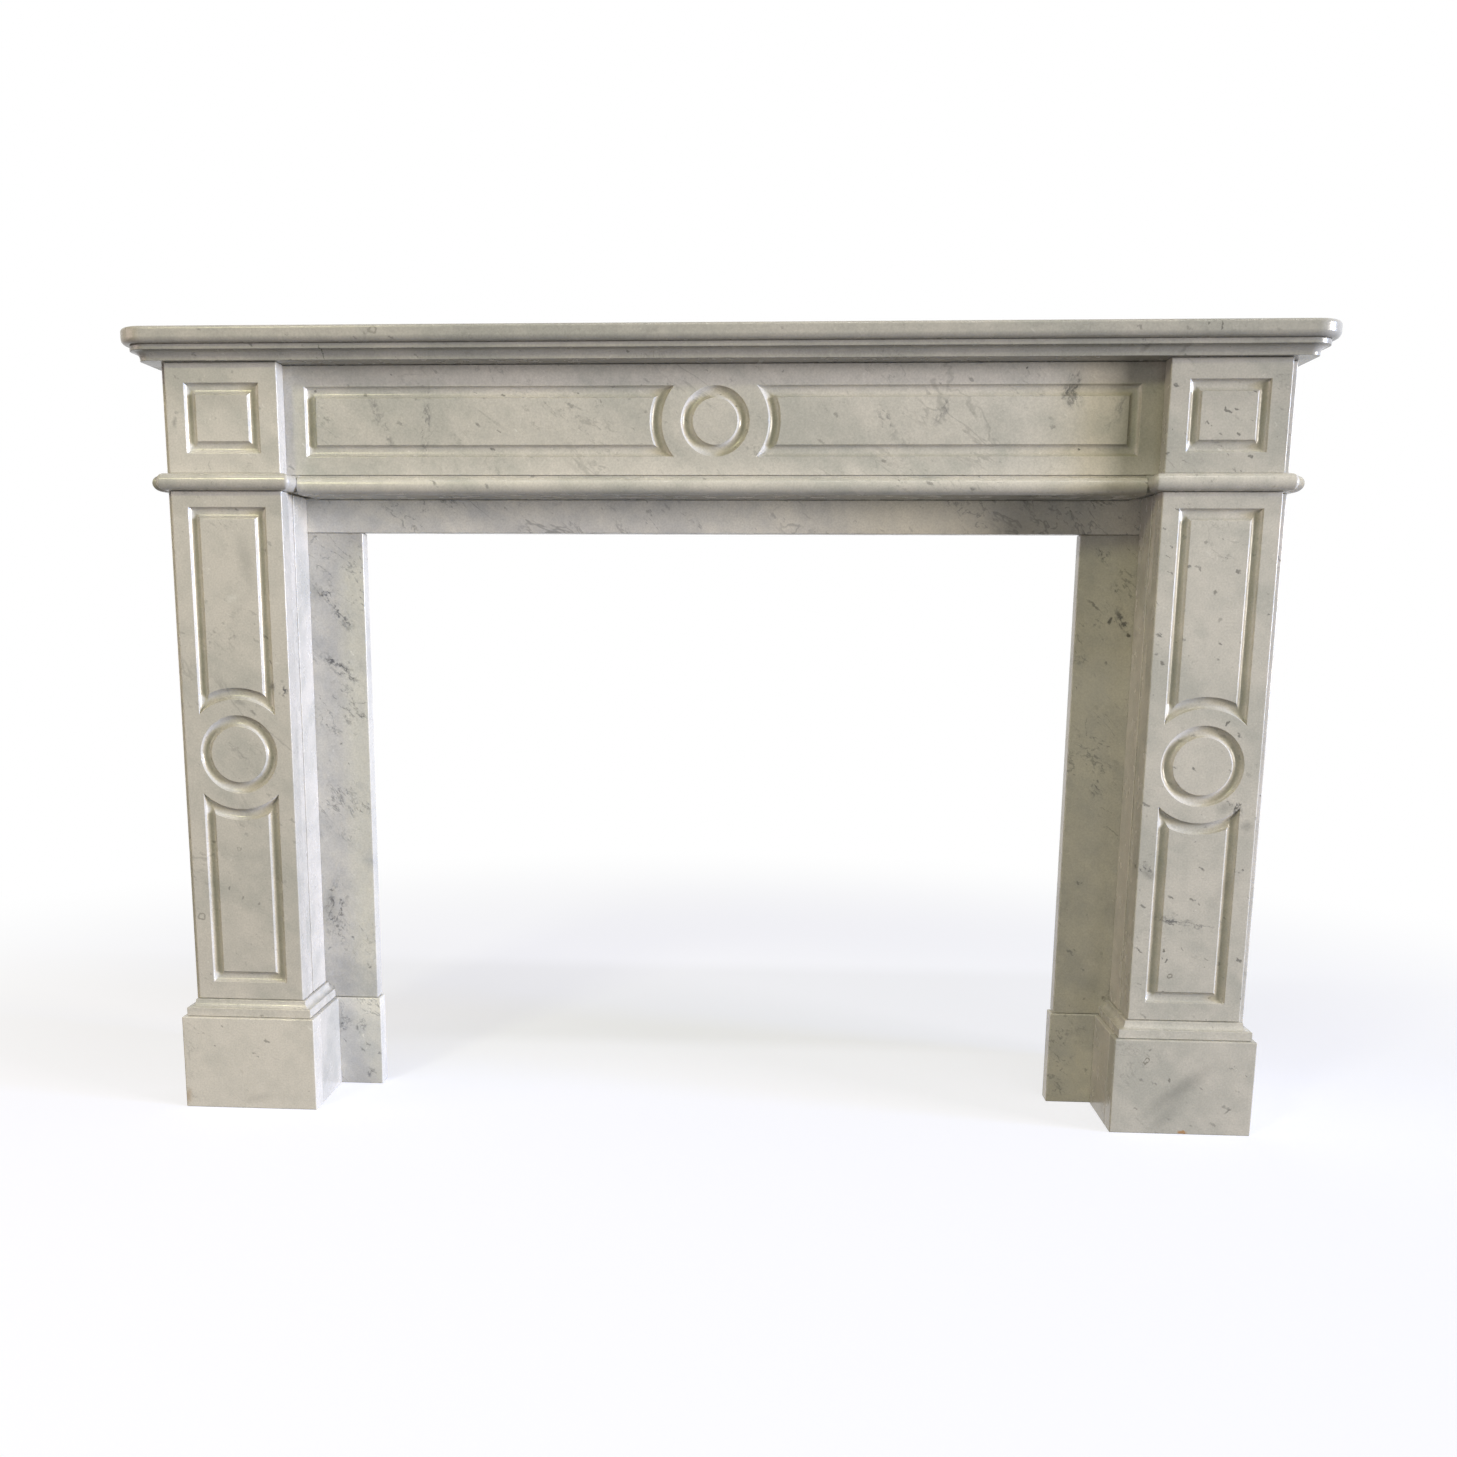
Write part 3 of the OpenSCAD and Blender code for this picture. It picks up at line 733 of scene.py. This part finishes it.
low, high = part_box("frieze_bead")
bead_h = high.z - low.z - QUIRK_H
bead_edge = half_round(bead_h - 2 * JOINT)
bead_edge = [p + Vector((0, JOINT)) for p in bead_edge]
bead_edge += [Vector((QUIRK_BACK, bead_h)), Vector((QUIRK_BACK, bead_h + QUIRK_H - JOINT))]
make("frieze_bead", stack(rectangle(low.x + JOINT, low.y, high.x - JOINT, high.y), [1, 0, 0, 0],
                          bead_edge, low.z))

low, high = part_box("frieze_slab")
block_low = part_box("right_corner_block")[0]
half = (high.z - low.z - FRIEZE_MARGIN_TOP - FRIEZE_MARGIN_BOTTOM) / 2
middle = Vector((0, low.z + FRIEZE_MARGIN_BOTTOM + half))
flat = FRIEZE_MARGIN_X - block_low.x
make("frieze_slab", carved_slab("frieze_slab", [
    ring_outline(middle, FRIEZE_RING_R),
    arched_outline(middle, half, flat, FRIEZE_ARC_R, math.pi / 2),
    arched_outline(middle, half, flat, FRIEZE_ARC_R, -math.pi / 2)]))

# past the bead's ends the header slip reaches up to the capping bands
low, high = tight("header_slip")
bead_x, ear_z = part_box("frieze_bead")[1].x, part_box("right_capping_band")[0].z - HAIR
outline = [Vector((low.x, low.z)), Vector((high.x, low.z)),
           Vector((high.x, ear_z)), Vector((bead_x, ear_z)), Vector((bead_x, high.z)),
           Vector((-bead_x, high.z)), Vector((-bead_x, ear_z)), Vector((low.x, ear_z))]
make("header_slip", upright_slab(outline, [1] * 8, low.y, high.y), "grey_marble")

for side, sign in (("left_", -1), ("right_", 1)):
    low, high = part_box(side + "corner_block")
    margin = Vector((BLOCK_MARGIN_X, BLOCK_MARGIN_Z))
    make(side + "corner_block", carved_slab(side + "corner_block", [
        rectangle_outline(Vector((low.x, low.z)) + margin, Vector((high.x, high.z)) - margin)]))

    low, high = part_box(side + "jamb_front")
    centre = Vector(((low.x + high.x) / 2, (low.z + high.z) / 2 - JAMB_RING_DROP))
    half = (high.x - low.x) / 2 - JAMB_MARGIN
    down = low.z + JAMB_MARGIN_BOTTOM - centre.y
    up = centre.y - (high.z - JAMB_MARGIN_TOP)
    make(side + "jamb_front", carved_slab(side + "jamb_front", [
        ring_outline(centre, JAMB_RING_R),
        arched_outline(centre, half, down, JAMB_ARC_R, 0.0),
        arched_outline(centre, half, up, JAMB_ARC_R, math.pi)]))

    low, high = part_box(side + "capping_band")
    front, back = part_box(side + "jamb_front"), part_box(side + "jamb_backing")
    inner, outer = across(sign, low.x, high.x)
    jamb_out = across(sign, front[0].x, front[1].x)[1]
    proud = front[0].y - low.y
    nose_out, bead_y = jamb_out + sign * proud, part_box("frieze_slab")[0].y
    y_step = back[0].y - proud
    # the inner side is nosed as far back as the bead, and plain behind it
    outline = [Vector((inner + sign * HAIR, low.y)), Vector((nose_out, low.y)),
               Vector((nose_out, y_step)), Vector((outer, y_step)),
               Vector((outer, BACK_Y)), Vector((inner, BACK_Y)),
               Vector((inner, bead_y)), Vector((inner + sign * HAIR, bead_y))]
    factors = [1, 1, 1, 1, 0, 0, 0, 1]
    edge = [p + Vector((0, JOINT)) for p in half_round(high.z - low.z - JOINT)]
    outline, factors, rounded = turned(sign, outline, factors, (0, 1))
    make(side + "capping_band", stack(outline, factors, edge, low.z,
                                      radius=BAND_CORNER_R, rounded=rounded))

    low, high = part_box(side + "base_moulding")
    inner, outer = across(sign, low.x, high.x)
    bar_x = across(sign, *(p.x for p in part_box(side + "jamb_inner_return")))[1]
    outline = [Vector((inner, low.y)), Vector((outer, low.y)), Vector((outer, back[0].y)),
               Vector((bar_x, back[0].y)), Vector((bar_x, high.y)), Vector((inner, high.y))]
    outline, factors, _ = turned(sign, outline, [1, 1, 0, 0, 0, 1], ())
    cove = arc(Vector((BASE_FACE - BASE_COVE_R, BASE_FILLET_H + BASE_COVE_R)),
               BASE_COVE_R, 270, 360, 9)
    top = high.z - low.z - JOINT
    edge = soften([Vector((3 * MM, JOINT)), Vector((0, JOINT)), Vector((0, BASE_FILLET_H)), *cove,
                   Vector((BASE_FACE, top)), Vector((BASE_FACE + 3 * MM, top))],
                  [0.9 * MM, 1.0 * MM, 0.3 * MM] + [0] * 9 + [0.8 * MM])
    make(side + "base_moulding", stack(outline, factors, edge, low.z))

    # the backing stands on the plinth and on the base moulding's inner bar
    low, high = tight(side + "jamb_backing")
    foot_x = bar_x + sign * JOINT
    inner, outer = across(sign, low.x, high.x)
    ledge = front[0].z + JOINT
    outline = [Vector((foot_x, low.z)), Vector((outer, low.z)), Vector((outer, high.z)),
               Vector((inner, high.z)), Vector((inner, ledge)), Vector((foot_x, ledge))]
    outline, factors, _ = turned(sign, outline, [1] * 6, ())
    make(side + "jamb_backing", upright_slab(outline, factors, low.y, high.y, SOFT_ARRIS))

    for name in ("frieze_return", "jamb_inner_return", "jamb_outer_return"):
        make(side + name, plain_slab(side + name, THIN_ARRIS))
    for name in ("plinth_front", "plinth_inner_return", "plinth_outer_return"):
        make(side + name, plain_slab(side + name, SOFT_ARRIS))
    for name in ("slip", "slip_foot"):
        make(side + name, plain_slab(side + name, SOFT_ARRIS), "grey_marble")

# ---------------------------------------------------------------- stage, lights, camera

FLOOR_HALF = 12.0
FADE_NEAR, FADE_FAR, FADE_LEAST = 0.9, 2.2, 0.68   # where the floor turns to pure white, in metres
WORLD_COLOR, WORLD_STRENGTH = (1.0, 0.90, 0.55, 1), 0.19
FLOOR_BOUNCE, FLOOR_SHOWN = (0.10, 0.10, 0.10, 1), (1.15, 1.2, 1.55, 1)
WHITE = (1, 1, 1, 1)

world = bpy.data.worlds.new("studio")
bpy.context.scene.world = world
world.use_nodes = True
tree = world.node_tree
tree.nodes.clear()
path = add(tree, "ShaderNodeLightPath")
seen = maths(tree, "MAXIMUM", path.outputs["Is Camera Ray"], path.outputs["Is Glossy Ray"])
seen = maths(tree, "MAXIMUM", seen, path.outputs["Is Transmission Ray"])
soft = add(tree, "ShaderNodeBackground", {"Color": WORLD_COLOR, "Strength": WORLD_STRENGTH})
pure = add(tree, "ShaderNodeBackground", {"Color": WHITE, "Strength": 1.0})
both = add(tree, "ShaderNodeMixShader", {0: seen, 1: soft.outputs[0], 2: pure.outputs[0]})
add(tree, "ShaderNodeOutputWorld", {"Surface": both.outputs[0]})

mesh = bpy.data.meshes.new("studio_floor")
mesh.from_pydata([(-FLOOR_HALF, -FLOOR_HALF, 0), (FLOOR_HALF, -FLOOR_HALF, 0),
                  (FLOOR_HALF, FLOOR_HALF, 0), (-FLOOR_HALF, FLOOR_HALF, 0)], [], [(0, 1, 2, 3)])
floor = bpy.data.objects.new("studio_floor", mesh)
bpy.context.scene.collection.objects.link(floor)
mat = bpy.data.materials.new("studio_floor")
mat.use_nodes = True
tree = mat.node_tree
tree.nodes.clear()
path = add(tree, "ShaderNodeLightPath")
seen = maths(tree, "MAXIMUM", path.outputs["Is Camera Ray"], path.outputs["Is Glossy Ray"])
bounce = add(tree, "ShaderNodeBsdfDiffuse", {"Color": FLOOR_BOUNCE})
shown = add(tree, "ShaderNodeBsdfDiffuse", {"Color": FLOOR_SHOWN})
glow = add(tree, "ShaderNodeEmission", {"Color": WHITE, "Strength": 1.0})
place = add(tree, "ShaderNodeTexCoord").outputs["Object"]
fade = ramp(tree, length_of(tree, place), FADE_NEAR, FADE_FAR, FADE_LEAST, 1.0)
near = add(tree, "ShaderNodeMixShader", {0: fade, 1: shown.outputs[0], 2: glow.outputs[0]})
both = add(tree, "ShaderNodeMixShader", {0: seen, 1: bounce.outputs[0], 2: near.outputs[0]})
add(tree, "ShaderNodeOutputMaterial", {"Surface": both.outputs[0]})
mesh.materials.append(mat)


def lamp(name, where, aim, width, height, power, color):
    """An area lamp at a place, turned to a point; sizes in metres, power in watts."""
    data = bpy.data.lights.new(name, "AREA")
    data.shape = "RECTANGLE"
    data.size, data.size_y = width, height
    data.energy, data.color = power, color
    obj = bpy.data.objects.new(name, data)
    obj.location = where
    obj.rotation_mode = "QUATERNION"
    obj.rotation_quaternion = (Vector(aim) - Vector(where)).to_track_quat("-Z", "Y")
    bpy.context.scene.collection.objects.link(obj)


lamp("window", (12.0, -4.4, 1.65), (0, 0, 0.5), 4.8, 3.0, 2400, (1.0, 0.92, 0.815))
lamp("sky", (11.6, -2.6, 1.7), (0, 0, 0.4), 1.6, 2.8, 900, (0.05, 0.32, 1.0))
lamp("high_left", (-1.8, -3.0, 3.1), (-0.2, 0, 0.5), 0.6, 0.6, 38, (1.0, 0.97, 0.53))
lamp("left", (-3.2, -1.2, 1.2), (0, 0, 0.5), 1.6, 2.0, 30, (1.0, 0.8, 0.77))
lamp("ceiling", (0.0, -0.95, 3.0), (0, -0.1, 0.6), 3.0, 0.16, 20, (1.0, 0.97, 0.90))

data = bpy.data.cameras.new("camera")
camera = bpy.data.objects.new("camera", data)
bpy.context.scene.collection.objects.link(camera)
bpy.context.scene.camera = camera
data.sensor_width, data.lens = 36.0, 34.95
data.shift_x, data.shift_y = 0.0380, 0.1069
yaw, pitch, roll = -0.063, 0.1854, 0.0063   # in radians, pitch downwards
ahead, side_way, upward = (Vector((math.sin(yaw), math.cos(yaw), 0)),
                           Vector((math.cos(yaw), -math.sin(yaw), 0)), Vector((0, 0, 1)))
look = ahead * math.cos(pitch) - upward * math.sin(pitch)
top = upward * math.cos(pitch) + ahead * math.sin(pitch)
right = side_way * math.cos(roll) + top * math.sin(roll)
top = top * math.cos(roll) - side_way * math.sin(roll)
camera.matrix_world = Matrix((right, top, -look)).transposed().to_4x4()
camera.location = (0.0686, -1.9735, 0.6708)
data.clip_start, data.clip_end = 0.05, 60

bpy.context.scene.view_settings.view_transform = "Standard"
